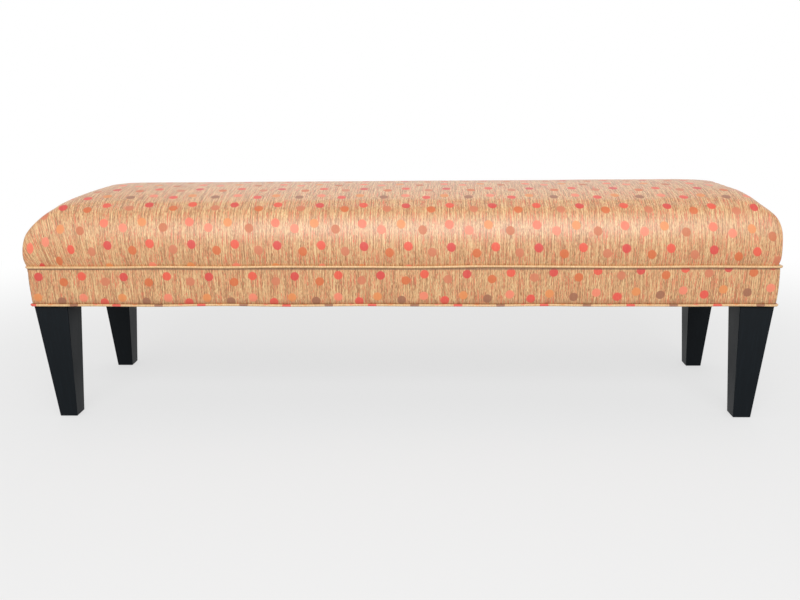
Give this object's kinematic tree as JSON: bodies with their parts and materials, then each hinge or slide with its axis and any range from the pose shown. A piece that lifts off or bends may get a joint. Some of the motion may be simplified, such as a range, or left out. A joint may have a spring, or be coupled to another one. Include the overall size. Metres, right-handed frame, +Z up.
{
  "type": "upholstered bench",
  "caption": "long upholstered bench with a crowned seat, welted border band and square tapered legs, in a dotted satin stripe cloth",
  "frame": {"origin": "on the floor, under the middle of the bench", "axes": "+X along the bench to the right seen from the front, +Y to the rear, +Z up"},
  "size_m": [1.524, 0.418, 0.4759],
  "materials": {
    "ebony_lacquered_wood": "satin black lacquer over close-grained hardwood",
    "frame_timber": "planed, unfinished hardwood",
    "nylon": "smooth moulded nylon",
    "zinc_steel": "zinc-plated steel",
    "jute_webbing": "woven jute webbing",
    "hessian": "open plain-weave hessian",
    "foam": "open-cell upholstery foam",
    "polyester_wadding": "bonded polyester wadding",
    "dotted_cloth": "golden satin stripe with woven polka dots in reds, oranges and pinks",
    "welt_cloth": "the cover cloth, wrapped round the piping cord",
    "piping_cord": "twisted cotton",
    "cardboard": "stiff grey-brown board",
    "dust_cloth": "thin non-woven black cloth"
  },
  "bodies": {
    "root": {"leg_front_left": "ebony_lacquered_wood", "leg_front_right": "ebony_lacquered_wood", "leg_rear_left": "ebony_lacquered_wood", "leg_rear_right": "ebony_lacquered_wood", "corner_block_front_left": "frame_timber", "corner_block_front_right": "frame_timber", "corner_block_rear_left": "frame_timber", "corner_block_rear_right": "frame_timber", "front_rail": "frame_timber", "rear_rail": "frame_timber", "left_end_rail": "frame_timber", "right_end_rail": "frame_timber", "cross_rail_1": "frame_timber", "cross_rail_2": "frame_timber", "leg_glides": "nylon", "leg_bolts": "zinc_steel", "leg_bolt_washers": "zinc_steel", "leg_bolt_nuts": "zinc_steel", "webbing_long_straps": "jute_webbing", "webbing_cross_straps": "jute_webbing", "deck_cloth": "hessian", "foam_base": "foam", "foam_crown": "foam", "polyester_wrap": "polyester_wadding", "border_padding": "polyester_wadding", "seat_cover": "dotted_cloth", "border_front": "dotted_cloth", "border_rear": "dotted_cloth", "border_left": "dotted_cloth", "border_right": "dotted_cloth", "upper_welt": "welt_cloth", "lower_welt": "welt_cloth", "upper_welt_cord": "piping_cord", "lower_welt_cord": "piping_cord", "tack_strips": "cardboard", "dust_cover": "dust_cloth"}
  },
  "joints": []
}
